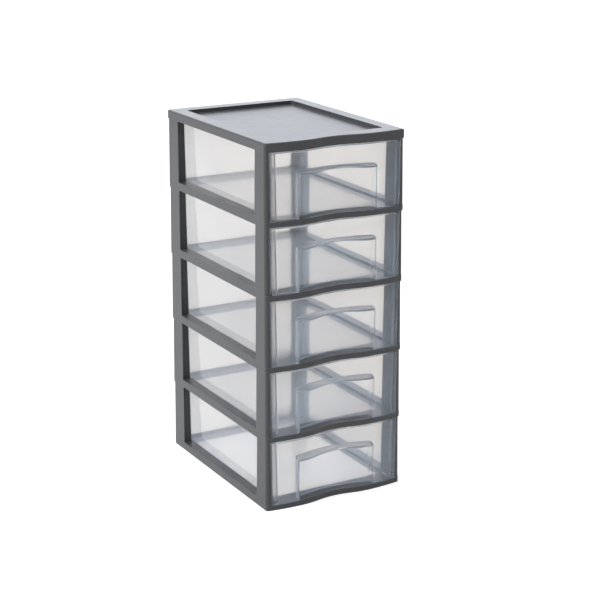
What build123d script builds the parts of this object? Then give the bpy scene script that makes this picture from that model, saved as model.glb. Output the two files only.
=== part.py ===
from build123d import *
from math import atan2, degrees, radians, tan
import os

# A free-standing tower of drawers.  Millimetres.  X is to the right, Y to the
# back, Z up.  The origin is on the floor, under the middle of the tower.

# Tower
width = 262.0           # across the rails
depth = 367.0           # front of the drawers' bulges to the back of the tower
tier_count = 5
tier_pitch = 121.8      # one tier stands this far above the one below
cover_height = 15.0
corner_radius = 5.0     # upright corners of the rails and of the cover
frame_wall = 2.2
step_in = 1.1           # a post's top is this much inside the ring that sits on it

# Wavy front, seen from above, measured from the line through its two ends
bulge = 5.7             # forwards
bulge_x = 65.5          # out from the middle
hollow = 2.1            # backwards, in the middle

# Ring of a tier
rail_height = 9.5       # front and back rails
ledge_height = 14.0     # side rails
ledge_width = 17.7
front_rail_depth = 27.0
back_rail_depth = 24.0
deck_radius = 4.0       # inside corners of the ring

# Posts
post_width = 14.5
post_face = 8.8         # front face left showing beside a drawer front
front_post_depth = 36.0
back_post_depth = 42.0
rebate_depth = 8.0      # the drawer front closes into this step
spigot_height = 7.0
spigot_fit = 0.3

# Cover
rim_width = 26.0
tray_depth = 6.5
tray_radius = 5.0
cover_edge_radius = 3.0
rib_height = 4.0
rib_thickness = 1.8
ribs_along = 2
ribs_across = 3

# Drawers
proud = 1.5             # the drawer front stands out this far from the rails
front_gap = 0.5         # between a drawer front and what surrounds it
seat_gap = 0.3          # under and beside the drawer's tub
drawer_wall = 1.6
drawer_floor = 1.8
front_wall = 2.0
front_corner_radius = 4.0
tub_back_gap = 13.0     # tub floor's end to the back of the tower
tub_draft = 1.1         # degrees, the tub widens upwards
tub_corner_radius = 9.0
tub_foot = 2.0          # bevel round the tub's foot
headroom = 2.5          # over the tub's rim
rim_lip = 2.0           # how far the rim turns outwards
rim_thickness = 2.0

# Grip, a recess in the lower middle of each drawer front
grip_width = 144.8
grip_height = 69.0
grip_side_slant = 1.0   # each side wall leans inwards by this much
grip_back = 17.5        # back of the recess behind the line of the front corners
grip_arch = 12.5        # the recess is this much shallower at its ends
grip_rise = 5.0         # its ceiling curves up inwards, behind a lip for the fingers
grip_radius = 3.0

half_width = width / 2
back_y = depth / 2
front_y = -depth / 2 + bulge + proud        # line of the front corners
draft = degrees(atan2(step_in, tier_pitch))
cover_z = tier_count * tier_pitch
overrun = 10.0          # how far a cutting tool reaches past what it cuts


def block(x_range, y_range, z_range):
    """A box between pairs of limits."""
    size = [high - low for low, high in (x_range, y_range, z_range)]
    corner = Pos(x_range[0], y_range[0], z_range[0])
    return corner * Box(*size, align=(Align.MIN, Align.MIN, Align.MIN))


def wave(y, half):
    """The front line in plan, as arcs that run smoothly into one another."""
    turn_x = bulge_x / 2
    turn_y = y + (hollow - bulge) / 2
    middle = ThreePointArc((-turn_x, turn_y), (0, y + hollow), (turn_x, turn_y))
    arcs = [middle]
    for side in (-1, 1):
        crest = (side * bulge_x, y - bulge)
        arcs.append(TangentArc(crest, (side * turn_x, turn_y), tangent=(-side, 0)))
        arcs.append(TangentArc(crest, (side * half, y), tangent=(side, 0)))
    return arcs


def behind_wave(inset, half, y_end):
    """The plan area from the front line, moved back by inset, to a straight back."""
    y = front_y + inset
    sides = Polyline((half, y), (half, y_end), (-half, y_end), (-half, y))
    return make_face(wave(y, half) + [sides])


def soften(edges, radius, inset):
    """Round a corner that shows, and bevel one that is inside a wall."""
    return chamfer(edges, radius) if inset else fillet(edges, radius)


def plan_prism(inset, height):
    """The tower's outline, drawn in by inset, as an upright prism with soft corners."""
    prism = extrude(behind_wave(inset, half_width - inset, back_y - inset), height)
    return soften(prism.edges().filter_by(Axis.Z), corner_radius - inset, inset)


def both_sides(piece):
    """A piece on the left together with its mirror image on the right."""
    return piece + mirror(piece, about=Plane.YZ)


# --- tier frame -------------------------------------------------------------

def rail_body(inset):
    """Front, back and side rails as one slab, drawn in by inset at its faces."""
    rails = plan_prism(inset, rail_height - inset)
    tall = plan_prism(inset, ledge_height - inset)
    y_range = (front_y + rebate_depth + inset, back_y)
    side = block((-half_width, ledge_width - half_width), y_range, (0, ledge_height))
    return rails + (tall & both_sides(side))


def deck_opening(grow):
    """The open middle of the ring, enlarged by grow."""
    x = half_width - ledge_width + grow
    y_range = (front_y + front_rail_depth - grow, back_y - back_rail_depth + grow)
    opening = block((-x, x), y_range, (-overrun, ledge_height + overrun))
    return fillet(opening.edges().filter_by(Axis.Z), deck_radius + grow)


def ring():
    """The rails, open below like every thin moulding of this kind."""
    outside = rail_body(0) - deck_opening(0)
    inside = rail_body(frame_wall) - deck_opening(frame_wall)
    return outside, inside


def tapered_block(x_range, y_range, inset, height):
    """An upright block, drawn in by inset, whose four sides lean in by the draft."""
    x_size = x_range[1] - x_range[0] - 2 * inset
    y_size = y_range[1] - y_range[0] - 2 * inset
    middle = Pos(sum(x_range) / 2, sum(y_range) / 2, 0)
    return extrude(middle * Rectangle(x_size, y_size), height, taper=draft)


def softened(shape, y_end, inset, height):
    """A post, drawn in by inset, with its corner softened at the front (0) or the back (-1)."""
    piece = shape(inset, height)
    tall = [edge for edge in piece.edges() if edge.length > tier_pitch / 2]
    corner = ShapeList(tall).sort_by(Axis.X)[:2].sort_by(Axis.Y)[y_end]
    return soften(corner, corner_radius - inset, inset)


def front_post(inset, height):
    """Left front post, stepped back where the drawer front closes."""
    left = -half_width
    y_end = front_y + front_post_depth
    face = tapered_block((left, left + post_face), (front_y, y_end), inset, height)
    flank = tapered_block((left, left + post_width), (front_y + rebate_depth, y_end), inset, height)
    return face + flank


def back_post(inset, height):
    """Left back post."""
    left = -half_width
    return tapered_block((left, left + post_width), (back_y - back_post_depth, back_y), inset, height)


def post(shape, y_end):
    """A hollow tapering post with a spigot on its closed top, and its core."""
    above = block((-width, 0), (-depth, depth), (ledge_height / 2, tier_pitch))
    outside = softened(shape, y_end, 0, tier_pitch) & above
    core = softened(shape, y_end, frame_wall, tier_pitch - frame_wall) & above
    spigot = softened(shape, y_end, frame_wall + spigot_fit, tier_pitch)
    spigot = spigot & block((-half_width, 0), (-depth, depth), (0, spigot_height))
    return outside + Pos(0, 0, tier_pitch) * spigot, core


def tier_frame():
    """One tier: a ring with four posts, moulded in one piece."""
    ring_outside, ring_inside = ring()
    frame = ring_outside
    cores = ring_inside
    for shape, y_end in ((front_post, 0), (back_post, -1)):
        outside, core = post(shape, y_end)
        frame += both_sides(outside)
        cores += both_sides(core)
    return frame - cores


# --- cover ------------------------------------------------------------------

def tray(grow, top, bottom):
    """The sunken middle of the cover, enlarged by grow."""
    x = half_width - rim_width + grow
    y_range = (front_y + rim_width - grow, back_y - rim_width + grow)
    well = block((-x, x), y_range, (bottom, top))
    return fillet(well.edges().filter_by(Axis.Z), tray_radius + grow)


def cover_ribs(panel_z):
    """Stiffening ribs under the sunken panel."""
    x_end = half_width - rim_width
    y_start = front_y + rim_width
    y_end = back_y - rim_width
    z_range = (panel_z - rib_height, panel_z)
    ribs = []
    for index in range(ribs_along):
        x = -x_end + 2 * x_end * (index + 1) / (ribs_along + 1)
        ribs.append(block((x - rib_thickness / 2, x + rib_thickness / 2), (y_start, y_end), z_range))
    for index in range(ribs_across):
        y = y_start + (y_end - y_start) * (index + 1) / (ribs_across + 1)
        ribs.append(block((-x_end, x_end), (y - rib_thickness / 2, y + rib_thickness / 2), z_range))
    return ribs


def cover():
    """The top cover: a skirt and a hollow rim round a sunken panel."""
    body = plan_prism(0, cover_height)
    body = fillet(body.faces().sort_by(Axis.Z)[-1].edges(), cover_edge_radius)
    body -= tray(0, cover_height + overrun, cover_height - tray_depth)
    panel_z = cover_height - tray_depth - frame_wall
    under_rim = plan_prism(frame_wall, cover_height - frame_wall)
    under_rim -= tray(frame_wall, cover_height, panel_z)
    body -= under_rim
    for rib in cover_ribs(panel_z):
        body += rib
    return body


# --- drawer -----------------------------------------------------------------

drawer_z = rail_height + seat_gap
front_top_z = tier_pitch - front_gap
tub_top_z = tier_pitch - headroom
tub_half_width = half_width - ledge_width - seat_gap
tub_spread = (tub_top_z - drawer_z) * tan(radians(tub_draft))
tub_back_y = back_y - tub_back_gap
skirt_y = front_y + rebate_depth - front_gap


def tub_section(inset, z, grow, radius):
    """The tub's outline at one height, grown from its floor's outline."""
    x = tub_half_width - inset
    y_range = (front_y - 2 * overrun, tub_back_y - inset)
    outline = RectangleRounded(2 * (x + grow), y_range[1] - y_range[0] + 2 * grow, radius)
    return Pos(0, sum(y_range) / 2, z) * outline


def tub(inset, bottom):
    """The drawer's tub, drawn in by inset, running on past the drawer front."""
    radius = tub_corner_radius - inset
    foot = tub_section(inset, bottom, -tub_foot, radius - tub_foot)
    low = tub_section(inset, bottom + tub_foot, 0, radius)
    high = tub_section(inset, tub_top_z, tub_spread, radius)
    return loft([foot, low, high], ruled=True)


def front_slab(inset, y_range, z_range):
    """The block that the drawer front fills, drawn in by inset at its sides."""
    x = half_width - post_face - front_gap - inset
    plan = Pos(0, sum(y_range) / 2, z_range[0]) * Rectangle(2 * x, y_range[1] - y_range[0])
    return extrude(plan, z_range[1] - z_range[0], taper=-draft)


def behind_front(inset):
    """Everything behind the drawer front's outer face, moved back by inset."""
    area = behind_wave(inset - proud, half_width, back_y)
    return extrude(area, tier_pitch)


def rim():
    """The outward lip along the top of the tub's sides and back."""
    spread = rim_lip + tub_spread
    x = tub_half_width + spread
    y_range = (skirt_y, tub_back_y + spread)
    lip = block((-x, x), y_range, (tub_top_z - rim_thickness, tub_top_z))
    return fillet(lip.edges().filter_by(Axis.Z).group_by(Axis.Y)[-1], tub_corner_radius + rim_lip)


def grip(grow, bottom):
    """The space of the grip recess from a height called bottom, enlarged by grow."""
    x_front = grip_width / 2 + grow
    x_back = x_front - grip_side_slant
    y_front = front_y - bulge - 2 * proud
    y_side = front_y + grip_back - grip_arch + grow
    y_back = front_y + grip_back + grow
    sides = Polyline((-x_back, y_side), (-x_front, y_front), (x_front, y_front), (x_back, y_side))
    back = ThreePointArc((x_back, y_side), (0, y_back), (-x_back, y_side))
    plan = make_face([sides, back])
    plan = fillet(plan.vertices().group_by(Axis.Y)[-1], grip_radius + grow)
    well = Pos(0, 0, bottom) * extrude(plan, tier_pitch)
    lip_z = drawer_z + grip_height + grow
    top_z = lip_z + grip_rise
    box = Polyline(
        (y_front, lip_z),
        (y_front - overrun, lip_z),
        (y_front - overrun, -overrun),
        (y_back + overrun, -overrun),
        (y_back + overrun, top_z),
        (y_side, top_z),
    )
    ceiling = TangentArc((y_side, top_z), (y_front, lip_z), tangent=(-1, 0))
    return well & extrude(Plane.YZ * make_face([box, ceiling]), width, both=True)


def is_front_corner(edge):
    """True for the two upright edges at the ends of the drawer front."""
    middle = edge.center()
    at_end = abs(middle.X) > half_width - post_face - overrun
    return at_end and middle.Y < front_y and edge.length > tub_top_z / 2


def drawer():
    """A drawer: tub, wavy front with side skirts, and grip recess, in one piece."""
    slab = front_slab(0, (front_y - overrun, skirt_y), (drawer_z, front_top_z)) & behind_front(0)
    slab = fillet([edge for edge in slab.edges() if is_front_corner(edge)], front_corner_radius)
    outside = slab + (tub(0, drawer_z) & behind_front(front_wall / 2)) + rim()
    inside = tub(drawer_wall, drawer_z + drawer_floor) & behind_front(front_wall)
    pocket_z = (-overrun, front_top_z - front_wall)
    pockets = front_slab(front_wall, (front_y - overrun, skirt_y + overrun), pocket_z) & behind_front(front_wall)
    pockets -= tub(0, drawer_z)
    body = outside - inside - pockets
    body += grip(front_wall, drawer_z) & behind_front(front_wall / 2)
    return body - grip(0, -overrun)


def export(name, piece):
    """Write one named piece."""
    piece.label = name
    export_step(piece, "parts/" + name + ".step")


def main():
    os.makedirs("parts", exist_ok=True)
    frame = tier_frame()
    pull_out = drawer()
    for index in range(tier_count):
        place = Pos(0, 0, index * tier_pitch)
        export("tier_frame_%d" % (index + 1), place * frame)
        export("drawer_%d" % (index + 1), place * pull_out)
    export("top_cover", Pos(0, 0, cover_z) * cover())


main()
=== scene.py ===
import math

import bpy
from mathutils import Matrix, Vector


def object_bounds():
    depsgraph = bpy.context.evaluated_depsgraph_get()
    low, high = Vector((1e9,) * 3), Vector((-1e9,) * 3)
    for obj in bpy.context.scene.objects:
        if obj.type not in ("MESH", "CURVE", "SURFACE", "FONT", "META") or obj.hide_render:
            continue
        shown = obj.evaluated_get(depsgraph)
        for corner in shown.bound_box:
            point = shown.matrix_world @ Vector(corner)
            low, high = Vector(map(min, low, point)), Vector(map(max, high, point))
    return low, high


# A dark grey tower of clear drawers on a white studio floor.  Metres, +Z up.

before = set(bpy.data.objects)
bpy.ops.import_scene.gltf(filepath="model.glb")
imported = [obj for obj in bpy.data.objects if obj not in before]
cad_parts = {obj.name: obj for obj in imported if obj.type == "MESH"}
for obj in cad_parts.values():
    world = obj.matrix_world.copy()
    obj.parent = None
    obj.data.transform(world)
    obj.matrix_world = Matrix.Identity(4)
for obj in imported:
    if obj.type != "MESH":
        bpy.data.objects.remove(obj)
cad_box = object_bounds()

# Camera: the photograph's angle
CAMERA_PLACE = Vector((-1.294, -2.342, 1.105))
CAMERA_AZIMUTH = 29.53      # degrees, turned from +Y towards +X
CAMERA_PITCH = 16.66        # degrees below the horizon
CAMERA_LENS = 95.8

# Light
WHITE = (1.0, 1.0, 1.0)
COOL = (0.8, 0.87, 1.0)
WORLD_FILL = 0.28           # what the plain surroundings give to the object
LAMPS = (                   # name, place, size, watts, colour
    ("key_left", (-3.1, 0.1, 1.7), 1.8, 60.0, WHITE),
    ("top", (-0.2, 0.2, 2.9), 1.6, 22.0, WHITE),
    ("back_wall", (1.5, 2.7, 1.6), 2.2, 19.0, COOL),
)

# Floor
FLOOR_SIZE = 60.0
FLOOR_PAINT = (0.8, 0.8, 0.8, 1.0)
FLOOR_NEAR_FAR = (0.8, 2.2)     # distances from the middle of the tower
FLOOR_GLOW = (0.7, 0.88)        # the floor's own brightness at these distances

# Noises: scale and detail
GREY_GRAIN = (900.0, 3.0)
GREY_TONE = (14.0, 5.0)
GREY_SHEEN = (60.0, 4.0)
CLEAR_SHEEN = (35.0, 5.0)
CLEAR_WAVES = (18.0, 2.0)
CLEAR_CLOUDS = (9.0, 4.0)
NOISE_MIDDLE = (0.3, 0.7)       # most of a noise's values lie between these

# Edges: how far they are softened, and how far the normal turns from flat face to full edge
GREY_EDGE = 0.0007
CLEAR_EDGE = 0.0018
EDGE_TURN = (1.0, 0.8)          # cosines

# Grey polypropylene
GREY = (0.079, 0.082, 0.088)
GREY_PAINTED_EDGE_HIGHLIGHT = (0.2, 0.21, 0.22, 1.0)      # painted highlight: a paler colour on edges
GREY_UNEVEN = 0.04              # how far the colour wanders over the surface
GREY_ROUGHNESS = (0.29, 0.32)
GREY_GLOSS = 0.36
GRAIN_BUMP = (0.008, 0.0004)    # strength and depth

# Clear polypropylene: light goes straight through warm, and what scatters in it is bluish
CLEAR = (0.968, 0.914, 0.85, 1.0)
CLEAR_IOR = 1.3                 # the plastic's own 1.49 makes the thin walls' edges too dark
CLEAR_ROUGHNESS = (0.03, 0.09)
WAVES_BUMP = (0.05, 0.001)
HAZE = (0.66, 0.79, 0.96, 1.0)
HAZE_AMOUNT = (0.18, 0.22)
EDGE_PASS = (0.97, 0.97, 0.97, 1.0)     # edges let light pass straight on instead of bending it
EDGE_FROST = 0.15                       # and scatter this much of it
LAMP_PASS = (0.86, 0.87, 0.88, 1.0)     # what reaches the inside of a drawer from a lamp

# Sockets of a Mix node in colour mode
MIX_FACTOR = 0
MIX_A = 6
MIX_B = 7
MIX_RESULT = 2


def new_node(tree, kind, **values):
    """Add a shader node and set its sockets, or its settings, by name."""
    node = tree.nodes.new(kind)
    for key, value in values.items():
        name = key.replace("_", " ")
        socket = next((s for s in node.inputs if s.name.lower() == name), None)
        if socket is None:
            setattr(node, key, value)
        else:
            socket.default_value = value
    return node


def new_material(name):
    """An empty node material, with its output."""
    material = bpy.data.materials.new(name)
    material.use_nodes = True
    material.node_tree.nodes.clear()
    return material, material.node_tree, material.node_tree.nodes.new("ShaderNodeOutputMaterial")


def noise(tree, scale_and_detail):
    """Noise that is fixed to the object, so that it doesn't slide on a moving drawer."""
    scale, detail = scale_and_detail
    place = tree.nodes.new("ShaderNodeTexCoord")
    texture = new_node(tree, "ShaderNodeTexNoise", scale=scale, detail=detail)
    tree.links.new(place.outputs["Object"], texture.inputs["Vector"])
    return texture.outputs["Fac"]


def ramp_between(tree, source, given, wanted):
    """Map one range of values to another, and hold the value beyond its ends."""
    ramp = tree.nodes.new("ShaderNodeMapRange")
    for side, span in (("From", given), ("To", wanted)):
        ramp.inputs[side + " Min"].default_value = span[0]
        ramp.inputs[side + " Max"].default_value = span[1]
    tree.links.new(source, ramp.inputs["Value"])
    return ramp.outputs["Result"]


def bump(tree, height, normal, strength_and_distance):
    """A bump over a normal."""
    strength, distance = strength_and_distance
    node = new_node(tree, "ShaderNodeBump", strength=strength, distance=distance)
    tree.links.new(height, node.inputs["Height"])
    tree.links.new(normal, node.inputs["Normal"])
    return node.outputs["Normal"]


def mix_shaders(tree, factor, first, second):
    """Mix two shaders by a factor that is a number or another node's output."""
    node = tree.nodes.new("ShaderNodeMixShader")
    if isinstance(factor, float):
        node.inputs[0].default_value = factor
    else:
        tree.links.new(factor, node.inputs[0])
    tree.links.new(first, node.inputs[1])
    tree.links.new(second, node.inputs[2])
    return node.outputs["Shader"]


def edge_mask(tree, rounded):
    """Up to 1 on edges and 0 on flat faces, from how far the softened normal turns."""
    shape = tree.nodes.new("ShaderNodeNewGeometry")
    agree = tree.nodes.new("ShaderNodeVectorMath")
    agree.operation = "DOT_PRODUCT"
    tree.links.new(shape.outputs["Normal"], agree.inputs[0])
    tree.links.new(rounded.outputs["Normal"], agree.inputs[1])
    return ramp_between(tree, agree.outputs["Value"], EDGE_TURN, (0.0, 1.0))


def grey_plastic():
    """Satin moulded plastic: fine grain, a slightly uneven gloss and softened edges, with a painted
    highlight that makes the edges paler.
    """
    material, tree, output = new_material("grey_plastic")
    link = tree.links.new
    plastic = new_node(tree, "ShaderNodeBsdfPrincipled", specular_ior_level=GREY_GLOSS)

    rounded = new_node(tree, "ShaderNodeBevel", radius=GREY_EDGE)
    grain = bump(tree, noise(tree, GREY_GRAIN), rounded.outputs["Normal"], GRAIN_BUMP)
    link(grain, plastic.inputs["Normal"])

    shade = new_node(tree, "ShaderNodeMix", data_type="RGBA")
    shade.inputs[MIX_A].default_value = tuple((1 - GREY_UNEVEN) * value for value in GREY) + (1.0,)
    shade.inputs[MIX_B].default_value = tuple((1 + GREY_UNEVEN) * value for value in GREY) + (1.0,)
    link(noise(tree, GREY_TONE), shade.inputs[MIX_FACTOR])

    # Painted highlight: the base colour turns paler along the edges
    painted_highlight = new_node(tree, "ShaderNodeMix", data_type="RGBA")
    link(edge_mask(tree, rounded), painted_highlight.inputs[MIX_FACTOR])
    link(shade.outputs[MIX_RESULT], painted_highlight.inputs[MIX_A])
    painted_highlight.inputs[MIX_B].default_value = GREY_PAINTED_EDGE_HIGHLIGHT
    link(painted_highlight.outputs[MIX_RESULT], plastic.inputs["Base Color"])

    sheen = ramp_between(tree, noise(tree, GREY_SHEEN), NOISE_MIDDLE, GREY_ROUGHNESS)
    link(sheen, plastic.inputs["Roughness"])
    link(plastic.outputs["BSDF"], output.inputs["Surface"])
    return material


def clear_plastic():
    """Clear, slightly milky plastic, which lets the lamps' light into the drawer."""
    material, tree, output = new_material("clear_plastic")
    link = tree.links.new
    glass = new_node(
        tree,
        "ShaderNodeBsdfPrincipled",
        base_color=CLEAR,
        ior=CLEAR_IOR,
        transmission_weight=1.0,
    )
    sheen = ramp_between(tree, noise(tree, CLEAR_SHEEN), NOISE_MIDDLE, CLEAR_ROUGHNESS)
    link(sheen, glass.inputs["Roughness"])
    rounded = new_node(tree, "ShaderNodeBevel", radius=CLEAR_EDGE)
    waves = bump(tree, noise(tree, CLEAR_WAVES), rounded.outputs["Normal"], WAVES_BUMP)
    link(waves, glass.inputs["Normal"])

    haze = new_node(tree, "ShaderNodeBsdfTranslucent", color=HAZE)
    clouds = ramp_between(tree, noise(tree, CLEAR_CLOUDS), NOISE_MIDDLE, HAZE_AMOUNT)
    milky = mix_shaders(tree, clouds, glass.outputs["BSDF"], haze.outputs["BSDF"])

    passing = new_node(tree, "ShaderNodeBsdfTransparent", color=EDGE_PASS)
    frost = new_node(tree, "ShaderNodeBsdfTranslucent", color=EDGE_PASS)
    edge = mix_shaders(tree, EDGE_FROST, passing.outputs["BSDF"], frost.outputs["BSDF"])
    plastic = mix_shaders(tree, edge_mask(tree, rounded), milky, edge)

    lamp_light = new_node(tree, "ShaderNodeBsdfTransparent", color=LAMP_PASS)
    path = tree.nodes.new("ShaderNodeLightPath")
    is_shadow = path.outputs["Is Shadow Ray"]
    surface = mix_shaders(tree, is_shadow, plastic, lamp_light.outputs["BSDF"])
    link(surface, output.inputs["Surface"])
    return material


def dress(node, material):
    """Give a CAD node its material."""
    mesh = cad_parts[node].data
    mesh.materials.clear()
    mesh.materials.append(material)


def seen_rays(tree):
    """1 for the rays that show the surroundings: to the camera, in a gloss or through the plastic."""
    path = tree.nodes.new("ShaderNodeLightPath")
    total = path.outputs["Is Camera Ray"]
    for kind in ("Is Glossy Ray", "Is Transmission Ray"):
        plus = new_node(tree, "ShaderNodeMath", operation="ADD", use_clamp=True)
        tree.links.new(total, plus.inputs[0])
        tree.links.new(path.outputs[kind], plus.inputs[1])
        total = plus.outputs["Value"]
    return total


def make_floor():
    """A white floor that shows the tower's shadow."""
    bpy.ops.mesh.primitive_plane_add(size=FLOOR_SIZE)
    floor = bpy.context.object
    floor.name = "floor"
    material, tree, output = new_material("white_floor")
    link = tree.links.new
    paint = new_node(tree, "ShaderNodeBsdfDiffuse", color=FLOOR_PAINT)
    glow = new_node(tree, "ShaderNodeEmission", color=WHITE + (1.0,))
    place = tree.nodes.new("ShaderNodeNewGeometry")
    reach = new_node(tree, "ShaderNodeVectorMath", operation="LENGTH")
    link(place.outputs["Position"], reach.inputs[0])
    own = ramp_between(tree, reach.outputs["Value"], FLOOR_NEAR_FAR, FLOOR_GLOW)
    level = new_node(tree, "ShaderNodeMath", operation="MULTIPLY")
    link(seen_rays(tree), level.inputs[0])
    link(own, level.inputs[1])
    link(level.outputs["Value"], glow.inputs["Strength"])
    both = tree.nodes.new("ShaderNodeAddShader")
    link(paint.outputs["BSDF"], both.inputs[0])
    link(glow.outputs["Emission"], both.inputs[1])
    link(both.outputs["Shader"], output.inputs["Surface"])
    floor.data.materials.append(material)


def make_world():
    """White surroundings that light the object at a plain level."""
    world = bpy.data.worlds.new("studio")
    bpy.context.scene.world = world
    world.use_nodes = True
    tree = world.node_tree
    background = tree.nodes["Background"]
    background.inputs["Color"].default_value = WHITE + (1.0,)
    level = ramp_between(tree, seen_rays(tree), (0.0, 1.0), (WORLD_FILL, 1.0))
    tree.links.new(level, background.inputs["Strength"])


def make_lamps():
    """Large soft lamps that face the middle of the tower."""
    low, high = cad_box
    target = (low + high) / 2
    for name, place, size, watts, colour in LAMPS:
        lamp = bpy.data.lights.new(name, "AREA")
        lamp.size = size
        lamp.energy = watts
        lamp.color = colour
        holder = bpy.data.objects.new(name, lamp)
        holder.location = place
        holder.rotation_euler = (target - Vector(place)).to_track_quat("-Z", "Y").to_euler()
        bpy.context.collection.objects.link(holder)


def make_camera():
    """The photograph's camera."""
    camera = bpy.data.objects.new("camera", bpy.data.cameras.new("camera"))
    camera.data.lens = CAMERA_LENS
    camera.location = CAMERA_PLACE
    camera.rotation_euler = (math.radians(90 - CAMERA_PITCH), 0, -math.radians(CAMERA_AZIMUTH))
    bpy.context.collection.objects.link(camera)
    bpy.context.scene.camera = camera


def main():
    make_camera()
    make_lamps()
    make_world()
    make_floor()
    grey = grey_plastic()
    clear = clear_plastic()
    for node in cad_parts:
        dress(node, clear if node.startswith("drawer") else grey)
    bpy.context.scene.view_settings.view_transform = "Standard"


main()
